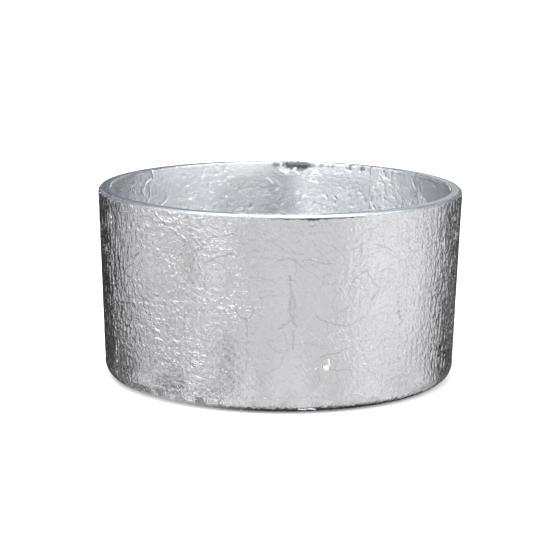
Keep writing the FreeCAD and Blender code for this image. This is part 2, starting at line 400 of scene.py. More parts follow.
class Crumple:
    """The relief of a sheet of leaf that was crumpled as it was laid, built up over a grid of
    places, each so far across and down the sheet, and the dark lines of painted shade along its
    creases."""

    def __init__(self, rng, across, down):
        self.rng, self.across, self.down = rng, across, down
        self.bent_across, self.bent_down = across.copy(), down.copy()
        for reach, cell in BENDS:
            self.bent_across += reach * smooth_noise(rng, across, down, cell)
            self.bent_down += reach * smooth_noise(rng, across, down, cell)
        self.wander = WANDER * smooth_noise(rng, across, down, WANDER_CELL)
        self.relief = np.zeros_like(across)
        self.lines = np.zeros_like(across)

    def random_place(self):
        rng = self.rng
        return rng.uniform(0, self.across.max()), rng.uniform(0, self.down.max())

    def around(self, x, y, reach):
        """The part of the grid within reach of a place, and how far across and down from that
        place its points are."""
        rows = np.flatnonzero(np.abs(self.down[:, 0] - y) < reach)
        columns = np.flatnonzero(np.abs(self.across[0] - x) < reach)
        part = np.ix_(rows, columns)
        return part, self.bent_across[part] - x, self.bent_down[part] - y

    def raise_to(self, part, height):
        self.relief[part] = np.maximum(self.relief[part], height)

    def add_wrinkles(self, count):
        """Patches of fine ridges side by side, which fade out at their edges."""
        rng = self.rng
        for _ in range(count):
            heading = rng.uniform(0, math.pi)
            spacing = rng.uniform(*WRINKLE_SPACING)
            length = rng.uniform(*WRINKLE_LENGTH)
            width = rng.uniform(*WRINKLE_WIDTH)
            slope = rng.uniform(*WRINKLE_SLOPE)
            reach = WRINKLE_REACH * max(length, width)
            part, right, lower = self.around(*self.random_place(), reach)
            along = right * math.cos(heading) + lower * math.sin(heading)
            side = lower * math.cos(heading) - right * math.sin(heading)
            patch = np.exp(-((along / length) ** 2) - (side / width) ** 2)
            ridges = 1 - np.abs(np.sin(math.pi * side / spacing + self.wander[part]))
            self.raise_to(part, patch * ridges * slope * spacing / math.pi)

    def add_facets(self, where, height, width, length):
        """Facets between sharp crests, as strong as where says."""
        across, down = self.bent_across + BEND_ROOM, self.bent_down + BEND_ROOM
        noise = smooth_noise(self.rng, across, down * width / length, width)
        self.relief += height * where * (1 - np.abs(noise))

    def evened(self):
        """The relief with its broad swells taken out, between 0 and LEAF_RELIEF."""
        cells = round(RELIEF_BLUR / GRID)
        broad = self.relief
        for _ in range(2):
            sums = np.pad(broad, ((cells + 1, cells), (0, 0)), mode="edge").cumsum(axis=0)
            broad = ((sums[2 * cells + 1 :] - sums[: -2 * cells - 1]) / (2 * cells + 1)).T
        half = LEAF_RELIEF / 2
        return half * (1 + np.tanh((self.relief - broad) / half))

    def add_folds(self, count):
        """Low straight folds, with the metal lying at a small angle on either side."""
        rng = self.rng
        swell = smooth_noise(rng, self.across, self.down, SWELL_CELL)
        self.relief += UNDULATION * (1 + swell)
        for _ in range(count):
            heading = rng.uniform(0, math.pi)
            reach = rng.uniform(*FOLD_REACH)
            slope = rng.uniform(*FOLD_SLOPE)
            part, right, lower = self.around(*self.random_place(), 2 * reach)
            side = lower * math.cos(heading) - right * math.sin(heading)
            fade = np.exp(-(right**2 + lower**2) / reach**2)
            self.relief[part] += slope * np.clip(reach / 2 - np.abs(side), 0, None) * fade

    def add_crease(self, x, y, radius, start, sweep, darkness):
        """A thin sharp ridge along part of a circle, with a dark line of painted shade along it.
        """
        part, right, lower = self.around(x, y, radius + CREASE_ROOM)
        turn = np.degrees(np.arctan2(lower, right))
        beyond = np.abs((turn - start - sweep / 2 + 180) % 360 - 180) - sweep / 2
        fade = np.exp(-np.clip(beyond, 0, None) / CREASE_END)
        self.add_line(part, np.abs(np.hypot(right, lower) - radius), fade, darkness)

    def add_line(self, part, apart, fade, darkness):
        """A thin sharp ridge with a dark line of painted shade along it, from how far each point
        is from it.
        """
        self.relief[part] += CREASE_HEIGHT * fade * np.exp(-apart / CREASE_WIDTH)
        line = darkness * fade * np.exp(-((apart / LINE_WIDTH) ** 2))
        self.lines[part] = np.maximum(self.lines[part], line)

    def add_split(self, start, end, darkness):
        """A thin sharp ridge between two places, with a dark line of painted shade along it."""
        (x, y), (run, fall) = start, (end[0] - start[0], end[1] - start[1])
        length = math.hypot(run, fall)
        part, right, lower = self.around(x, y, length + CREASE_ROOM)
        share = np.clip((right * run + lower * fall) / length**2, 0, 1)
        apart = np.hypot(right - share * run, lower - share * fall)
        self.add_line(part, apart, 1, darkness)

    def add_creases(self, count, radii=CREASE_RADIUS, sweeps=CREASE_SWEEP):
        rng = self.rng
        for _ in range(count):
            radius = rng.uniform(*radii)
            start, sweep = rng.uniform(0, 360), rng.uniform(*sweeps)
            self.add_crease(*self.random_place(), radius, start, sweep, FAINT_CREASE_SHADE)

    def add_star(self, x, y, reach, folds, heading=0.0, sweep=360.0):
        """Ridges that run out from a point and die away, or only those near a heading."""
        part, right, lower = self.around(x, y, 2 * reach)
        apart = np.hypot(right, lower)
        turn = np.degrees(np.arctan2(lower, right))
        beyond = np.abs((turn - heading + 180) % 360 - 180) - sweep / 2
        ring = np.exp(-(((apart - reach / 2) / (reach / STAR_RING)) ** 2))
        ring *= np.exp(-np.clip(beyond, 0, None) / STAR_END)
        ridges = 1 - np.abs(np.sin(np.radians(turn) * folds / 2))
        self.raise_to(part, STAR_SLOPE * ring * ridges * apart / folds * 2)

    def add_fans(self, count):
        """Parts of stars, spread over the sheet."""
        rng = self.rng
        for _ in range(count):
            reach, folds = rng.uniform(*FAN_REACH), rng.integers(*FAN_FOLDS)
            heading, sweep = rng.uniform(0, 360), rng.uniform(*FAN_SWEEP)
            self.add_star(*self.random_place(), reach, folds, heading, sweep)

    def spot(self, x, y, half_width, half_length, lean):
        """1 on the edge of an oval spot, less inside it and more outside."""
        tilt = math.radians(lean)
        right, lower = self.bent_across - x, self.bent_down - y
        side = right * math.cos(tilt) + lower * math.sin(tilt)
        along = lower * math.cos(tilt) - right * math.sin(tilt)
        return np.hypot(side / half_width, along / half_length)


# ---------------------------------------------------------------- pieces
def leaf_path():
    """The line down the wall, round the base corner and in to the hem on the glass: how far
    along it each point is, its radius and height, and which way is out."""
    top = LEAF_TOP + TOP_EDGE_RISE
    corners = [
        (BASE_RADIUS + WALL_SLOPE * (top - BASE_HEIGHT), top, 0),
        (BASE_RADIUS, BASE_HEIGHT, BASE_ROUND),
        (HEM_RADIUS, BASE_HEIGHT, 0),
    ]
    points = split_runs(rounded_outline(corners, steps=24), PATH_STEP)
    steps = np.linalg.norm(np.diff(points, axis=0), axis=1)
    length = np.concatenate([[0], np.cumsum(steps)])
    along = np.gradient(points, length, axis=0)
    out = np.stack([-along[:, 1], along[:, 0]], axis=1)
    return length, points, out


PATH_LENGTH, PATH_POINTS, PATH_OUT = leaf_path()


def on_wall(angle, down, lift):
    """Points on the glass at that angle in degrees and that far down the leaf's path, moved
    out by lift."""
    radius, height, out_radius, out_height = (
        np.interp(down, PATH_LENGTH, column)
        for column in (*PATH_POINTS.T, *PATH_OUT.T)
    )
    radius = radius + out_radius * lift
    turn = np.radians(angle)
    place = (radius * np.cos(turn), radius * np.sin(turn), height + out_height * lift)
    return np.stack(place, axis=-1)


def down_at(height):
    """How far down the leaf's path a height on the wall is."""
    return float(np.interp(-height, -PATH_POINTS[:, 1], PATH_LENGTH))


class Sheet:
    """A sheet of leaf on the wall, laid out flat as a grid of places, each so far across it from
    its first edge, which is at the angle start, and so far down it from its top edge."""

    def __init__(self, start):
        self.start = start
        self.width = math.radians(SHEET_PITCH + LAP) * RIM_RADIUS
        self.path = PATH_LENGTH[-1]
        self.across, self.down = np.meshgrid(
            np.linspace(0, self.width, round(self.width / GRID) + 1),
            np.linspace(0, self.path, round(self.path / GRID) + 1),
        )

    def across_at(self, angle):
        turned = (angle - self.start + 180) % 360 - 180
        return math.radians(turned) * RIM_RADIUS

    def place(self, angle, height):
        """How far across and down the sheet a place on the wall is."""
        return self.across_at(angle), down_at(height)

    def near(self, angle, height, reach, shape):
        """1 at a place on the wall, fading out about as far from it as reach."""
        x, y = self.place(angle, height)
        apart = np.hypot(self.across - x, self.down - y)
        return np.exp(-((apart / reach) ** shape))

    def between(self, first, last, fade):
        """1 between two angles, fading out over the length fade inside each."""
        first, last = self.across_at(first), self.across_at(last)
        return smoothstep((self.across - first) / fade) * smoothstep((last - self.across) / fade)

    def near_hem(self):
        """1 along the hem and round the base corner, fading out up the wall."""
        return smoothstep((self.down - self.path + HEM_REACH) / HEM_FADE)

    def with_rough_edges(self, rng):
        """The grid with its top edge ragged and its lap's edge frayed."""
        rough = sum(
            size * smooth_noise(rng, self.across, self.down * 0, cell) for size, cell in RAGGED
        )
        down = np.clip(self.down + rough * np.exp(-self.down / EDGE_FADE), 0, self.path)
        rough = sum(size * smooth_noise(rng, self.across * 0, down, cell) for size, cell in FRAYED)
        across = self.across - np.abs(rough) * np.exp((self.across - self.width) / EDGE_FADE)
        return across, down


def closed_sheet(name, outer, inner, keep, marks, material):
    """A thin closed piece between two grids of points.  keep says which cells have metal, and
    marks gives the values that its material reads on the outer and the inner side."""
    index = np.arange(outer[..., 0].size).reshape(outer.shape[:2])
    a, b, c, d = index[:-1, :-1], index[:-1, 1:], index[1:, 1:], index[1:, :-1]
    beside = np.pad(keep, 1)
    front = np.stack([a, d, c, b], axis=-1)[keep]
    faces = [front, front[:, ::-1] + index.size]
    for first, second, neighbour in (
        (a, d, beside[1:-1, :-2]),
        (d, c, beside[2:, 1:-1]),
        (c, b, beside[1:-1, 2:]),
        (b, a, beside[:-2, 1:-1]),
    ):
        edge = keep & ~neighbour
        one, two = first[edge], second[edge]
        faces.append(np.stack([two, one, one + index.size, two + index.size], axis=-1))
    faces = np.concatenate(faces)
    points = np.concatenate([outer.reshape(-1, 3), inner.reshape(-1, 3)])
    used, faces = np.unique(faces, return_inverse=True)
    sheet = mesh_object(name, points[used], faces.reshape(-1, 4).tolist(), material)
    for label, sides in marks.items():
        layer = sheet.data.attributes.new(label, "FLOAT", "POINT")
        layer.data.foreach_set("value", np.ravel(sides)[used].astype(np.float32))
    return sheet


def without_pinches(keep):
    """Takes out cells until none touches another at a corner only."""
    above_left, above_right = keep[:-1, :-1], keep[:-1, 1:]
    below_left, below_right = keep[1:, :-1], keep[1:, 1:]
    while True:
        falling = above_left & below_right & ~above_right & ~below_left
        rising = above_right & below_left & ~above_left & ~below_right
        if not (falling | rising).any():
            return keep
        above_left[falling] = False
        above_right[rising] = False


def middle(grid):
    """Values at the middles of a grid's cells."""
    return (grid[:-1, :-1] + grid[:-1, 1:] + grid[1:, :-1] + grid[1:, 1:]) / 4


def outer_crumple(sheet, rng):
    """The crumples of a sheet's outer side, and how lively it is from place to place.  It is calm
    in patches, where it is burnished, and under the sheet lapped over it, but not round the base
    corner."""
    crumple = Crumple(rng, sheet.across, sheet.down)
    crumple.add_wrinkles(WRINKLES)
    for size, high in FACETS:
        crumple.add_facets(1, high, size, size)
    crumple.add_fans(FANS)
    crumple.add_folds(FOLDS)
    crumple.add_creases(RANDOM_CREASES)
    for angle, height, reach, folds in STARS:
        crumple.add_star(*sheet.place(angle, height), reach, folds)

    drift = smoothstep(0.5 + CALM_DRIFT * smooth_noise(rng, sheet.across, sheet.down, CALM_CELL))
    lively = LEAST_LIVELY + (1 - LEAST_LIVELY) * drift
    for patch in CALM_PATCHES:
        lively *= 1 - PATCH_CALM * sheet.near(*patch, HILL)
    lively = np.maximum(lively, HEM_SHARE * sheet.near_hem())
    crumple.relief *= lively

    for stretch in UPRIGHT_STRETCHES:
        crumple.add_facets(sheet.between(*stretch, STRETCH_FADE), *UPRIGHT_RIDGES)
    crumple.add_facets(sheet.near_hem(), *HEM_PLEATS)
    for angle, height, *shape in CREASES:
        crumple.add_crease(*sheet.place(angle, height), *shape, DARK_CREASE_SHADE)
    for angle, height, last_angle, last_height in SPLITS:
        ends = sheet.place(angle, height), sheet.place(last_angle, last_height)
        crumple.add_split(*ends, DARK_CREASE_SHADE)
    under_lap = smoothstep(sheet.across / UNDER_LAP_FADE)
    crumple.relief *= UNDER_LAP_SHARE + (1 - UNDER_LAP_SHARE) * under_lap
    return crumple, lively


def inner_relief(sheet, rng, filament_rng, relief):
    """The relief of a sheet's inner side, and how lively it is.  Seen through the glass, it is
    smoother than the outer side, but for its lively patches and for folds of its own."""
    behind = Crumple(rng, sheet.across, sheet.down)
    behind.add_folds(INNER_FOLDS)
    behind.add_creases(INNER_CREASES, INNER_CREASE_RADIUS, INNER_CREASE_SWEEP)
    filaments = Crumple(filament_rng, sheet.across, sheet.down)
    filaments.add_creases(FILAMENTS, FILAMENT_RADIUS, FILAMENT_SWEEP)
    least, most = FILAMENT_SHARES
    share = least + (most - least) * sheet.near(*FILAMENT_PATCH, FLAT_TOP)
    folds = INNER_CREASE_SHARE * behind.relief + share * filaments.relief
    lively = np.full_like(relief, INNER_SHARE)
    for *patch, share in LIVELY_PATCHES:
        lively += share * sheet.near(*patch, FLAT_TOP)
    return np.clip(folds + lively * relief, 0, LEAF_RELIEF), lively


def edge_shade_line(sheet, rng, first, last, thick_first, thick_last, depth):
    """How dark the painted shade line along a sheet's top edge is, which is thicker in its middle.
    """
    thick = sheet.between(thick_first, thick_last, THICK_FADE)
    uneven = 1 + EDGE_SHADE_UNEVEN * smooth_noise(rng, sheet.across, sheet.down, EDGE_SHADE_CELL)
    reach = depth * (THIN_PART + (1 - THIN_PART) * thick) * uneven
    return sheet.between(first, last, EDGE_SHADE_FADE) * smoothstep(EDGE_SHADE_END - sheet.down / reach)


def outer_shade_and_wear(sheet, rng, crumple):
    """How dark a sheet's outer side is: painted shade along its top edge and its creases, and
    where it is worn."""
    darkening = np.maximum(edge_shade_line(sheet, rng, *EDGE_SHADE), crumple.lines)
    for angle, height, *shape, darkness in WORN_SPOTS:
        spot = crumple.spot(*sheet.place(angle, height), *shape)
        edge = smoothstep((spot - WORN_EDGE) / WORN_EDGE)
        worn = smoothstep((WORN_END - spot) / WORN_FADE) * (WORN_MIDDLE + (1 - WORN_MIDDLE) * edge)
        darkening = np.maximum(darkening, darkness * worn)
    return darkening


def inner_shade(sheet, rng):
    """How dark a sheet's inner side is: painted shade along its top edge and in patches."""
    darkening = edge_shade_line(sheet, rng, *INNER_EDGE_SHADE)
    below_edge = smoothstep(sheet.down / INNER_SHADE_FADE)
    for *patch, shade_strength in INNER_SHADE_PATCHES:
        darkening = np.maximum(darkening, shade_strength * below_edge * sheet.near(*patch, FLAT_TOP))
    return darkening


def make_wall_leaf(name, start, material):
    """One sheet of leaf on the wall, from its first edge at the angle start."""
    number = wall_leaves.index(name)
    rng = np.random.default_rng([SEED, number])
    filament_rng = np.random.default_rng([SEED, FILAMENT_SEED, number])
    sheet = Sheet(start)
    crumple, lively = outer_crumple(sheet, rng)
    relief = crumple.evened()

    torn = np.full_like(relief, np.inf)
    for angle, height, *shape in TEARS:
        torn = np.minimum(torn, crumple.spot(*sheet.place(angle, height), *shape))
    thin = TORN_SHARE + (1 - TORN_SHARE) * smoothstep((torn - 1) / TORN_REACH)
    relief = relief * thin + LIP_HEIGHT * np.exp(-(((torn - LIP_PLACE) / LIP_WIDTH) ** 2))
    uneven = TORN_EDGE * smooth_noise(rng, sheet.across, sheet.down, TORN_CELL)
    keep = without_pinches(middle(torn + uneven) > 1)

    inside, inner_lively = inner_relief(sheet, rng, filament_rng, relief)
    # Outside: painted shade along the top edge and the creases, with wear and pressed spots;
    # inside: painted shade.
    darkening = outer_shade_and_wear(sheet, rng, crumple)
    shade_inside = inner_shade(sheet, rng)
    for angle, height, *shape in PRESSED_SPOTS:
        spot = crumple.spot(*sheet.place(angle, height), *shape)
        pressed = smoothstep((PRESSED_END - spot) / PRESSED_FADE)
        relief -= (relief + PRESSED_DEPTH) * pressed
        darkening = np.maximum(darkening, PRESSED_DARKNESS * pressed)

    pitch_width = math.radians(SHEET_PITCH) * RIM_RADIUS
    lap = smoothstep((sheet.across - pitch_width + LAP_RAMP / 2) / LAP_RAMP)
    lift = LEAF_LIFT + LAP_LIFT * lap
    across, down = sheet.with_rough_edges(rng)
    angle = start + np.degrees(across / RIM_RADIUS)
    outer = on_wall(angle, down, lift + relief)
    inner = on_wall(angle, down, lift + (inside - LEAF_DEPTH) * thin)

    fine = FINE_SHARE + (1 - FINE_SHARE) * lively
    fine *= 1 + GRAINY_SHARE * sheet.between(*GRAINY_STRETCH, STRETCH_FADE)
    even = np.ones_like(relief)
    marks = {
        CREASED: (fine, INNER_FINENESS * lively * inner_lively),
        WAVED: (WAVE_SHARE * even, INNER_WAVE_SHARE * even),
        SHADE_AND_WEAR: (darkening, shade_inside),
    }
    leaf = closed_sheet(f"{name}_crumpled", outer, inner, keep, marks, material)
    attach(leaf, BODY)
    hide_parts(name, "wall_lacquer")
    return leaf


def make_base_leaf(material):
    """The sheet on the underside: a square grid drawn out to a disc."""
    rng = np.random.default_rng([SEED, len(wall_leaves)])
    cells = round(2 * BASE_LEAF_RADIUS / BASE_GRID)
    side = np.linspace(-1, 1, cells + 1)
    u, v = np.meshgrid(side, side)
    x = u * np.sqrt(1 - v * v / 2) * BASE_LEAF_RADIUS
    y = v * np.sqrt(1 - u * u / 2) * BASE_LEAF_RADIUS
    crumple = Crumple(rng, (1 + u) * BASE_LEAF_RADIUS, (1 + v) * BASE_LEAF_RADIUS)
    crumple.add_wrinkles(WRINKLES)
    crumple.add_folds(FOLDS)
    crumple.add_creases(RANDOM_CREASES)
    relief = crumple.evened()
    keep = np.ones((cells, cells), bool)
    height = RECESS_HEIGHT - LEAF_LIFT - relief
    outer = np.stack([x, y, height], axis=-1)
    inner = np.stack([x, y, height + LEAF_DEPTH], axis=-1)
    full, none = np.ones_like(u), np.zeros_like(u)
    marks = {CREASED: (full, full), WAVED: (none, none), SHADE_AND_WEAR: (none, none)}
    sheet = closed_sheet("base_leaf_crumpled", outer, inner, keep, marks, material)
    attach(sheet, BODY)
    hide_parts("base_leaf", "base_lacquer")
    return sheet


# How many sides the glass is turned in, and the longest step along its outline.  The numbers of
# waves round its inside, how deep one wave would be, which is shared out among their number,
# and how much they slant: the most radians by which they shift in a metre of height.
GLASS_SIDES = 320
GLASS_STEP = 2.5 * MM
GLASS_WAVES = (3, 5, 8, 13, 21)
GLASS_WAVE_DEPTH = 0.12 * MM
GLASS_WAVE_CLIMB = 60


def make_glass(material):
    """The pressed glass, turned from its half section, with a slightly uneven inside."""
    corners = [
        (0, RECESS_HEIGHT, 0),
        (RING_INSIDE, RECESS_HEIGHT, 0),
        (RING_INSIDE, 0, RING_ROUND),
        (RING_OUTSIDE, 0, RING_ROUND),
        (RING_OUTSIDE, BASE_HEIGHT, 0),
        (BASE_RADIUS, BASE_HEIGHT, BASE_ROUND),
        (RIM_RADIUS, HEIGHT, RIM_OUTER_ROUND),
        (RIM_RADIUS - RIM_WALL, HEIGHT, RIM_INNER_ROUND),
        (FLOOR_RADIUS, FLOOR_HEIGHT, FLOOR_ROUND),
        (0, FLOOR_HEIGHT, 0),
    ]
    outline = split_runs(rounded_outline(corners, steps=11), GLASS_STEP)[1:-1]
    turn = np.arange(GLASS_SIDES) * 2 * math.pi / GLASS_SIDES
    radius = np.repeat(outline[:, :1], GLASS_SIDES, axis=1)
    height = np.repeat(outline[:, 1:], GLASS_SIDES, axis=1)
    rng = np.random.default_rng([SEED, GLASS_SEED])
    inside = (outline[:, 0] < RIM_RADIUS - RIM_WALL) & (outline[:, 1] > FLOOR_HEIGHT)
    for waves in GLASS_WAVES:
        phase = rng.uniform(0, 2 * math.pi)
        climb = rng.uniform(-GLASS_WAVE_CLIMB, GLASS_WAVE_CLIMB)
        wave = np.cos(waves * turn + phase + climb * height)
        radius = radius + inside[:, None] * wave * GLASS_WAVE_DEPTH / waves
    points = np.stack([radius * np.cos(turn), radius * np.sin(turn), height], axis=-1)
    rings = np.arange(points[..., 0].size).reshape(points.shape[:2])
    after = np.roll(rings, -1, axis=1)
    quads = np.stack([rings[:-1], after[:-1], after[1:], rings[1:]], axis=-1)
    faces = quads.reshape(-1, 4).tolist()
    under, over = rings.size, rings.size + 1
    faces += [[under, two, one] for one, two in zip(rings[0], after[0])]
    faces += [[over, one, two] for one, two in zip(rings[-1], after[-1])]
    poles = [[0, 0, RECESS_HEIGHT], [0, 0, FLOOR_HEIGHT]]
    points = np.concatenate([points.reshape(-1, 3), poles])
    glass = mesh_object("glass_bowl", points, faces, material)
    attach(glass, BODY)
    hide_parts("glass_vessel")
    return glass


# ---------------------------------------------------------------- materials
# The span of a noise texture's values, which its colours and its polish are spread over.
NOISE_LOW, NOISE_MIDDLE, NOISE_HIGH = 0.3, 0.5, 0.7
LEAF_COLOURS = [
    (NOISE_LOW, (0.95, 0.95, 0.96)),
    (NOISE_MIDDLE, (0.97, 0.97, 0.975)),
    (NOISE_HIGH, (0.99, 0.985, 0.985)),
]
# The colour towards which the painted shade and the wear marks darken the leaf.
SHADE_AND_WEAR_COLOUR = (0.07, 0.07, 0.08, 1)
LEAF_ROUGHNESS = (0.07, 0.16)
GRAIN_HEIGHT = 0.18 * MM
CRACK_HEIGHT = 0.04 * MM
WAVE_HEIGHT = 0.04 * MM
LACQUER_WEIGHT = 0.6
LACQUER_ROUGHNESS = 0.10
GLASS_COLOURS = [(NOISE_LOW, (0.988, 0.990, 0.990)), (NOISE_HIGH, (0.998, 0.998, 0.998))]
GLASS_FLOW_HEIGHT = 0.2 * MM
GLASS_FLOW_STRENGTH = 0.10
GLASS_ROUGHNESS = 0.01
GLASS_IOR = 1.5
GLASS_TINT = (0.74, 0.81, 0.86, 1)
GLASS_TINT_DENSITY = 10.0
PAPER_COLOURS = [(NOISE_LOW, (0.93, 0.93, 0.93)), (NOISE_HIGH, (0.96, 0.96, 0.96))]
PAPER_ROUGHNESS = 0.9
PAPER_GLOW_COLOUR = (1, 1, 1, 1)
PAPER_GLOW = 0.20
CARD_COLOUR = (1, 1, 1.02, 1)


def new_material(name):
    """A new node material, its node tree and its Principled shader."""
    material = bpy.data.materials.new(name)
    material.use_nodes = True
    tree = material.node_tree
    return material, tree, tree.nodes["Principled BSDF"]


def textured(tree, kind, **inputs):
    """A texture on the object's own coordinates, in metres."""
    places = tree.nodes.new("ShaderNodeTexCoord")
    texture = tree.nodes.new(kind)
    for name, value in inputs.items():
        texture.inputs[name.replace("_", " ")].default_value = value
    tree.links.new(places.outputs["Object"], texture.inputs["Vector"])
    return texture


def point_value(tree, name):
    """The value that a mesh's points have under that name."""
    made = tree.nodes.new("ShaderNodeAttribute")
    made.attribute_name = name
    return made.outputs["Fac"]


def ramp(tree, source, stops):
    """A colour ramp of (position, colour) stops on a texture's output."""
    made = tree.nodes.new("ShaderNodeValToRGB")
    elements = made.color_ramp.elements
    for element, (position, colour) in zip(elements, (stops[0], stops[-1])):
        element.position = position
        element.color = (*colour, 1)
    for position, colour in stops[1:-1]:
        elements.new(position).color = (*colour, 1)
    tree.links.new(source, made.inputs["Fac"])
    return made.outputs["Color"]


def spread(tree, source, low, high):
    """A noise texture's value, spread from low to high."""
    made = tree.nodes.new("ShaderNodeMapRange")
    made.inputs["From Min"].default_value = NOISE_LOW
    made.inputs["From Max"].default_value = NOISE_HIGH
    made.inputs["To Min"].default_value = low
    made.inputs["To Max"].default_value = high
    tree.links.new(source, made.inputs["Value"])
    return made.outputs["Result"]


def bump(tree, source, distance, strength, under=None):
    """A bump, whose strength is a number or another node's output."""
    made = tree.nodes.new("ShaderNodeBump")
    made.inputs["Distance"].default_value = distance
    if isinstance(strength, bpy.types.NodeSocket):
        tree.links.new(strength, made.inputs["Strength"])
    else:
        made.inputs["Strength"].default_value = strength
    tree.links.new(source, made.inputs["Height"])
    if under:
        tree.links.new(under, made.inputs["Normal"])
    return made.outputs["Normal"]


def leaf_material():
    """Silver-coloured leaf under clear lacquer: bright metal with a faint unevenness of
    colour and polish, tiny cracks and grain."""
    material, tree, shader = new_material("lacquered_silver_leaf")
    patches = textured(tree, "ShaderNodeTexNoise", Scale=90, Detail=5, Roughness=0.6)
    colour = ramp(tree, patches.outputs["Fac"], LEAF_COLOURS)
    # Mixes in the painted shade and the wear marks that the mesh's points keep.
    mix = tree.nodes.new("ShaderNodeMix")
    mix.data_type = "RGBA"
    mix.inputs["B"].default_value = SHADE_AND_WEAR_COLOUR
    tree.links.new(point_value(tree, SHADE_AND_WEAR), mix.inputs["Factor"])
    tree.links.new(colour, mix.inputs["A"])
    colour = mix.outputs["Result"]
    polish = textured(tree, "ShaderNodeTexNoise", Scale=260, Detail=4, Roughness=0.6)
    ridges = textured(
        tree, "ShaderNodeTexNoise", Scale=1500, Detail=2, Roughness=0.5, Distortion=0.8
    )
    ridges.noise_type = "RIDGED_MULTIFRACTAL"
    cracks = textured(tree, "ShaderNodeTexVoronoi", Scale=620)
    cracks.feature = "DISTANCE_TO_EDGE"
    streaks = textured(
        tree, "ShaderNodeTexWave", Scale=260, Distortion=11, Detail=2, Detail_Scale=0.5
    )
    streaks.bands_direction = "DIAGONAL"
    strength = point_value(tree, CREASED)
    first = bump(tree, ridges.outputs["Fac"], GRAIN_HEIGHT, strength)
    second = bump(tree, cracks.outputs["Distance"], CRACK_HEIGHT, strength, first)
    third = bump(tree, streaks.outputs["Fac"], WAVE_HEIGHT, point_value(tree, WAVED), second)
    roughness = spread(tree, polish.outputs["Fac"], *LEAF_ROUGHNESS)
    tree.links.new(colour, shader.inputs["Base Color"])
    tree.links.new(roughness, shader.inputs["Roughness"])
    tree.links.new(third, shader.inputs["Normal"])
    shader.inputs["Metallic"].default_value = 1.0
    shader.inputs["Coat Weight"].default_value = LACQUER_WEIGHT
    shader.inputs["Coat Roughness"].default_value = LACQUER_ROUGHNESS
    return material


def glass_material():
    """Clear pressed glass with a faint blue-grey tint, slightly uneven on its surface."""
    material, tree, shader = new_material("pressed_glass")
    drift = textured(tree, "ShaderNodeTexNoise", Scale=45, Detail=3, Roughness=0.5)
    colour = ramp(tree, drift.outputs["Fac"], GLASS_COLOURS)
    flow = textured(tree, "ShaderNodeTexNoise", Scale=140, Detail=2, Roughness=0.5)
    uneven = bump(tree, flow.outputs["Fac"], GLASS_FLOW_HEIGHT, GLASS_FLOW_STRENGTH)
    tree.links.new(colour, shader.inputs["Base Color"])
    tree.links.new(uneven, shader.inputs["Normal"])
    shader.inputs["Transmission Weight"].default_value = 1.0
    shader.inputs["Roughness"].default_value = GLASS_ROUGHNESS
    shader.inputs["IOR"].default_value = GLASS_IOR
    tint = tree.nodes.new("ShaderNodeVolumeAbsorption")
    tint.inputs["Color"].default_value = GLASS_TINT
    tint.inputs["Density"].default_value = GLASS_TINT_DENSITY
    output = tree.nodes["Material Output"]
    tree.links.new(tint.outputs["Volume"], output.inputs["Volume"])
    return material


def floor_material():
    """Plain white paper that glows a little."""
    material, tree, shader = new_material("white_paper")
    fibre = textured(tree, "ShaderNodeTexNoise", Scale=30, Detail=2)
    colour = ramp(tree, fibre.outputs["Fac"], PAPER_COLOURS)
    tree.links.new(colour, shader.inputs["Base Color"])
    shader.inputs["Roughness"].default_value = PAPER_ROUGHNESS
    shader.inputs["Emission Color"].default_value = PAPER_GLOW_COLOUR
    shader.inputs["Emission Strength"].default_value = PAPER_GLOW
    return material


def glow_material():
    """A studio card's glow, as bright as its points say."""
    material = bpy.data.materials.new("card_glow")
    material.use_nodes = True
    tree = material.node_tree
    tree.nodes.clear()
    glow = tree.nodes.new("ShaderNodeEmission")
    glow.inputs["Color"].default_value = CARD_COLOUR
    output = tree.nodes.new("ShaderNodeOutputMaterial")
    tree.links.new(point_value(tree, GLOW), glow.inputs["Strength"])
    tree.links.new(glow.outputs["Emission"], output.inputs["Surface"])
    return material


# ---------------------------------------------------------------- camera
# The distance, in radii of the leafed rim, and the pitch and roll give the photograph's view of
# the vessel, and the lens and the aim its place in the frame.
CAMERA_RADII = 12.24
LEAFED_RIM_RADIUS = RIM_RADIUS + 0.15 * MM
CAMERA_DISTANCE = CAMERA_RADII * LEAFED_RIM_RADIUS
CAMERA_PITCH = math.radians(11.12)
CAMERA_ROLL = math.radians(0.556)
CAMERA_LENS = 141.5
CAMERA_SENSOR = 36.0
CAMERA_CLIP = (0.01, 50)
AIM = Vector((0.17 * MM, 0, 31.46 * MM))


def make_camera():
    data = bpy.data.cameras.new("camera")
    data.lens = CAMERA_LENS
    data.sensor_width = CAMERA_SENSOR
    data.clip_start, data.clip_end = CAMERA_CLIP
    camera = bpy.data.objects.new("camera", data)
    bpy.context.scene.collection.objects.link(camera)
    back = Vector((0, -math.cos(CAMERA_PITCH), math.sin(CAMERA_PITCH)))
    turn = (-back).to_track_quat("-Z", "Y").to_matrix().to_4x4()
    roll = Matrix.Rotation(CAMERA_ROLL, 4, "Z")
    camera.matrix_world = Matrix.Translation(AIM + back * CAMERA_DISTANCE) @ turn @ roll
    bpy.context.scene.camera = camera


# ---------------------------------------------------------------- studio
# A card that only the vessel's shine sees lies just above the table, and stands up at its outer
# edge in three bands.  Its grid follows where the wall mirrors it: a column for each CARD_STEP
# degrees round the wall, and on the table a row for each CARD_RISE up it.
CARD_GAP = 0.05 * MM
CARD_STEP = 0.5
CARD_RISE = 0.75 * MM
CARD_INNER = RING_OUTSIDE + 0.5 * MM
# Out to CONTACT_RADIUS the table card glows dimly: a painted contact shadow, which the base corner
# mirrors.
CONTACT_RADIUS = 55.6 * MM
FAR_RADIUS = 0.42
BAND_ROWS = 12
BAND_TOPS = {"low": 0.055, "middle": 0.12, "high": 0.45}

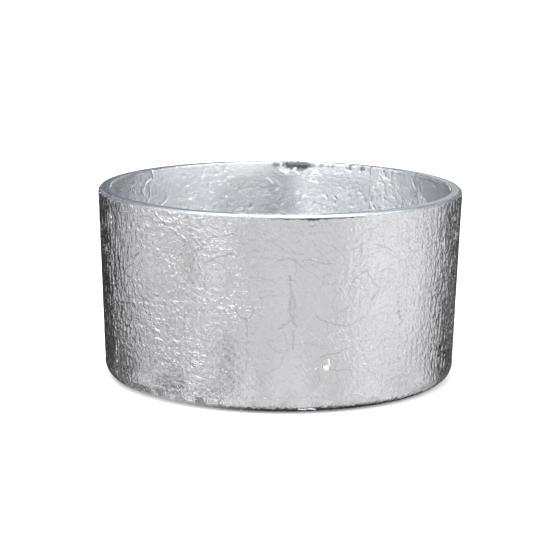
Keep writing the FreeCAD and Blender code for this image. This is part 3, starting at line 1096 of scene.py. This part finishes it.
# Each row says how brightly each ring of the card glows where the wall, at that many degrees
# right of the camera's side, mirrors it.  Between near and far the glow is in between.
CARD_RINGS = ("contact_shade", "near", "far", "low", "middle", "high")
CARD_GLOWS = [
    (-180, 0.20, 0.20, 0.20, 1.00, 1.10, 1.10),
    (-105, 0.20, 0.20, 0.20, 1.00, 1.10, 1.10),
    (-90, 0.18, 0.08, 0.08, 0.14, 0.18, 0.40),
    (-80, 0.14, 0.05, 0.05, 0.05, 0.09, 0.20),
    (-66, 0.20, 0.05, 0.05, 0.05, 0.09, 0.25),
    (-62, 0.28, 0.12, 0.13, 0.12, 0.17, 0.40),
    (-57, 0.42, 0.30, 0.32, 0.29, 0.40, 0.70),
    (-50, 0.50, 0.45, 0.49, 0.44, 0.75, 0.95),
    (-43, 0.50, 0.53, 0.56, 0.52, 0.88, 1.05),
    (-30, 0.40, 0.55, 0.57, 0.52, 0.90, 1.10),
    (-16, 0.14, 0.56, 0.57, 0.48, 0.88, 1.10),
    (-7, 0.05, 0.61, 0.61, 0.48, 0.75, 0.90),
    (14, 0.04, 0.62, 0.63, 0.48, 0.75, 0.90),
    (18, 0.04, 0.58, 0.60, 0.48, 0.75, 0.90),
    (28, 0.04, 0.70, 0.93, 0.52, 0.90, 1.00),
    (44, 0.04, 0.66, 0.91, 0.52, 0.90, 1.00),
    (54, 0.05, 0.52, 0.68, 0.42, 0.80, 0.90),
    (58, 0.06, 0.38, 0.46, 0.32, 0.50, 0.80),
    (61, 0.08, 0.20, 0.24, 0.19, 0.30, 0.60),
    (66, 0.10, 0.11, 0.12, 0.10, 0.14, 0.35),
    (79, 0.10, 0.10, 0.11, 0.10, 0.13, 0.28),
    (90, 0.18, 0.15, 0.15, 0.15, 0.18, 0.40),
    (105, 0.20, 0.20, 0.20, 0.95, 1.05, 1.00),
    (180, 0.20, 0.20, 0.20, 0.95, 1.05, 1.00),
]
# How mottled the card's glow is there: 1 makes it go from nothing to twice as bright.  The
# mottles have two sizes, measured where the wall mirrors them, and each size its strength.
MOTTLES = [(2.6 * MM, 2.0), (1.1 * MM, 1.2)]
CARD_MOTTLES = [
    (-180, 1.0), (-58, 1.0), (-50, 0.75), (-30, 0.65), (-16, 0.50), (-8, 0.12),
    (22, 0.14), (30, 0.22), (54, 0.30), (60, 1.0), (180, 1.0),
]

# Another card lies just above the table behind the vessel, and is seen only through glass: how
# far right each place is and how brightly it glows, with uneven bars up to the first.
BACK_GLOWS = [
    (1 * MM, 0.12), (9 * MM, 0.12), (12 * MM, 0.34),
    (34 * MM, 0.42), (42 * MM, 0.22), (70 * MM, 0.22),
]
BACK_BARS = (-18 * MM, 0.8 * MM)
BAR_GLOW = (0.2, 1.3)
BACK_CARD_REACH = 0.60


def card_glow(walls, ring):
    """How brightly a ring of the card glows where each of those walls mirrors it."""
    stops = np.array(CARD_GLOWS).T
    return np.interp(walls, stops[0], stops[1 + CARD_RINGS.index(ring)])


def card_row(walls, radius, height, glow):
    """Points round the vessel, with their glow, where the wall's reflections that the camera
    sees cross a circle.  The points behind the vessel are spread evenly instead."""
    wall = np.radians(np.clip(walls, -90, 90))
    slant = np.arctan2(np.sin(wall), CAMERA_DISTANCE / BASE_RADIUS - np.cos(wall))
    foot = min(radius, BASE_RADIUS)
    start = foot * np.stack([np.sin(wall), -np.cos(wall)])
    heading = np.stack([np.sin(2 * wall + slant), -np.cos(2 * wall + slant)])
    inward = (start * heading).sum(axis=0)
    x, y = start + heading * (np.sqrt(inward**2 + radius**2 - foot**2) - inward)
    turn = np.arctan2(x, -y)
    turn += np.clip(np.abs(walls) / 90 - 1, 0, 1) * np.sign(walls) * (math.pi - np.abs(turn))
    place = radius * np.sin(turn), -radius * np.cos(turn), np.full_like(turn, height)
    return np.stack((*place, glow), axis=1)


def mottled(rng, walls, rows):
    """Rows of a card's points, with their glow made uneven."""
    across, down = np.meshgrid(np.radians(walls + 180) * BASE_RADIUS, np.arange(len(rows)))
    clouds = sum(
        strength * smooth_noise(rng, across, down * CARD_RISE, size) for size, strength in MOTTLES
    )
    swing = np.interp(walls, *np.array(CARD_MOTTLES).T)
    points = np.array(rows)
    points[..., 3] *= 1 + swing * np.clip(clouds, -1, 1)
    return points


def make_card(name, points):
    """A card through rows of points, each with its place and its glow."""
    index = np.arange(points[..., 0].size).reshape(points.shape[:2])
    corners = index[:-1, :-1], index[:-1, 1:], index[1:, 1:], index[1:, :-1]
    faces = np.stack(corners, axis=-1).reshape(-1, 4).tolist()
    points = points.reshape(-1, 4)
    card = mesh_object(name, points[:, :3], faces, glow_material())
    layer = card.data.attributes.new(GLOW, "FLOAT", "POINT")
    layer.data.foreach_set("value", points[:, 3].astype(np.float32))
    card.visible_camera = False
    card.visible_shadow = False
    card.visible_diffuse = False
    card.visible_transmission = False
    return card


def make_cards():
    rng = np.random.default_rng([SEED, CARD_SEED])
    walls = np.arange(-180, 180 + CARD_STEP / 2, CARD_STEP)
    contact_shade, near, far = (card_glow(walls, ring) for ring in CARD_RINGS[:3])
    # The two inner rows are the painted contact shadow.
    inner = [card_row(walls, radius, CARD_GAP, contact_shade) for radius in (CARD_INNER, CONTACT_RADIUS)]
    slope = math.tan(CAMERA_PITCH)
    rows = []
    for height in np.arange(0, (FAR_RADIUS - BASE_RADIUS) * slope, CARD_RISE):
        radius = BASE_RADIUS + height / slope
        share = (radius - BASE_RADIUS) / (FAR_RADIUS - BASE_RADIUS)
        rows.append(card_row(walls, radius, CARD_GAP, near + share * (far - near)))
    make_card("card_table", np.concatenate([inner, mottled(rng, walls, rows)]))
    foot = CARD_GAP
    for ring, top in BAND_TOPS.items():
        glow = card_glow(walls, ring)
        heights = np.linspace(foot, top, BAND_ROWS)
        rows = [card_row(walls, FAR_RADIUS, height, glow) for height in heights]
        make_card(f"card_{ring}", mottled(rng, walls, rows))
        foot = top


def make_back_card():
    rng = np.random.default_rng([SEED, BACK_CARD_SEED])
    first, spacing = BACK_BARS
    bars = np.arange(first, BACK_GLOWS[0][0], spacing)
    stops = [(x, rng.uniform(*BAR_GLOW)) for x in bars] + BACK_GLOWS
    across, glow = np.array(stops).T
    rows = [
        np.stack([across, across * 0 + y, across * 0 + CARD_GAP, glow], axis=1)
        for y in (RIM_RADIUS, BACK_CARD_REACH)
    ]
    card = make_card("card_back", np.array(rows))
    card.visible_transmission = True
    card.visible_glossy = False


FLOOR_HALF = 4.0
WORLD_COLOUR = (0.985, 0.995, 1.008, 1)
WORLD_STRENGTH = 1.26
# Each softbox's place, size and power in watts.
SOFTBOXES = {
    "top_softbox": ((-0.30, -0.30, 1.15), 0.9, 8),
    "left_softbox": ((-0.60, -0.50, 0.60), 0.30, 0.8),
    "right_softbox": ((0.75, -0.35, 0.55), 0.5, 1.5),
}


def make_floor():
    half = FLOOR_HALF
    corners = [(-half, -half, 0), (half, -half, 0), (half, half, 0), (-half, half, 0)]
    mesh_object("paper_floor", corners, [[0, 1, 2, 3]], floor_material())


def softbox(name, place, size, power):
    """A square soft light that faces the middle of the vessel."""
    data = bpy.data.lights.new(name, "AREA")
    data.shape = "SQUARE"
    data.size = size
    data.energy = power
    lamp = bpy.data.objects.new(name, data)
    bpy.context.scene.collection.objects.link(lamp)
    lamp.location = place
    aim = Vector((0, 0, HEIGHT / 2)) - Vector(place)
    lamp.rotation_euler = aim.to_track_quat("-Z", "Y").to_euler()
    lamp.visible_camera = False


def make_lights():
    world = bpy.data.worlds.new("studio")
    world.use_nodes = True
    background = world.node_tree.nodes["Background"]
    background.inputs["Color"].default_value = WORLD_COLOUR
    background.inputs["Strength"].default_value = WORLD_STRENGTH
    bpy.context.scene.world = world
    for name, shape in SOFTBOXES.items():
        softbox(name, *shape)


def make_vessel():
    leaf = leaf_material()
    make_glass(glass_material())
    for number, name in enumerate(wall_leaves):
        make_wall_leaf(name, FIRST_SEAM + number * SHEET_PITCH, leaf)
    make_base_leaf(leaf)


def set_up_picture():
    scene = bpy.context.scene
    scene.view_settings.view_transform = "Standard"
    scene.cycles.max_bounces = 40
    scene.cycles.glossy_bounces = 30
    scene.cycles.transmission_bounces = 30
    scene.cycles.sample_clamp_indirect = 6.0


make_vessel()
make_floor()
make_cards()
make_back_card()
make_lights()
make_camera()
set_up_picture()
